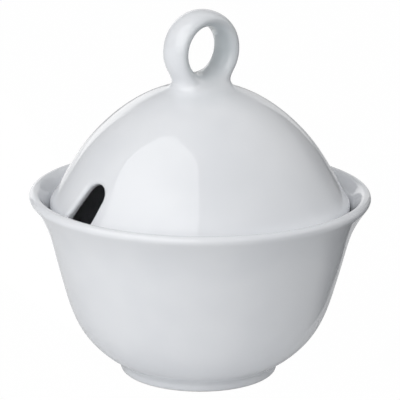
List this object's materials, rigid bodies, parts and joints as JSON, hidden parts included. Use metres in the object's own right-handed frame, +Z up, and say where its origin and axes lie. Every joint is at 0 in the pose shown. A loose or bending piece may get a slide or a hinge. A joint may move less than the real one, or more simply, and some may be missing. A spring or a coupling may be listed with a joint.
{
  "type": "sugar bowl",
  "caption": "White glazed porcelain sugar bowl with a flared lip and a low foot ring, and a domed lift-off lid with a spoon notch and a ring handle.",
  "frame": {"origin": "centre of the foot ring's flat underside, on the bowl's axis", "axes": "+Z up along the axis of the bowl and lid, -X towards the spoon notch, Y along the hole of the ring handle"},
  "size_m": [0.112, 0.112, 0.1212],
  "materials": {
    "white_glaze": "glossy clear glaze on white porcelain, unglazed on the foot ring's underside and the lid's seat"
  },
  "bodies": {
    "bowl": {"bowl": "white_glaze"},
    "lid": {"lid": "white_glaze", "ring_handle": "white_glaze"}
  },
  "joints": [
    {"name": "lid_lift", "type": "slide", "parent": "bowl", "child": "lid", "axis": [0, 0, 1], "range_m": [0, 0.1]}
  ]
}
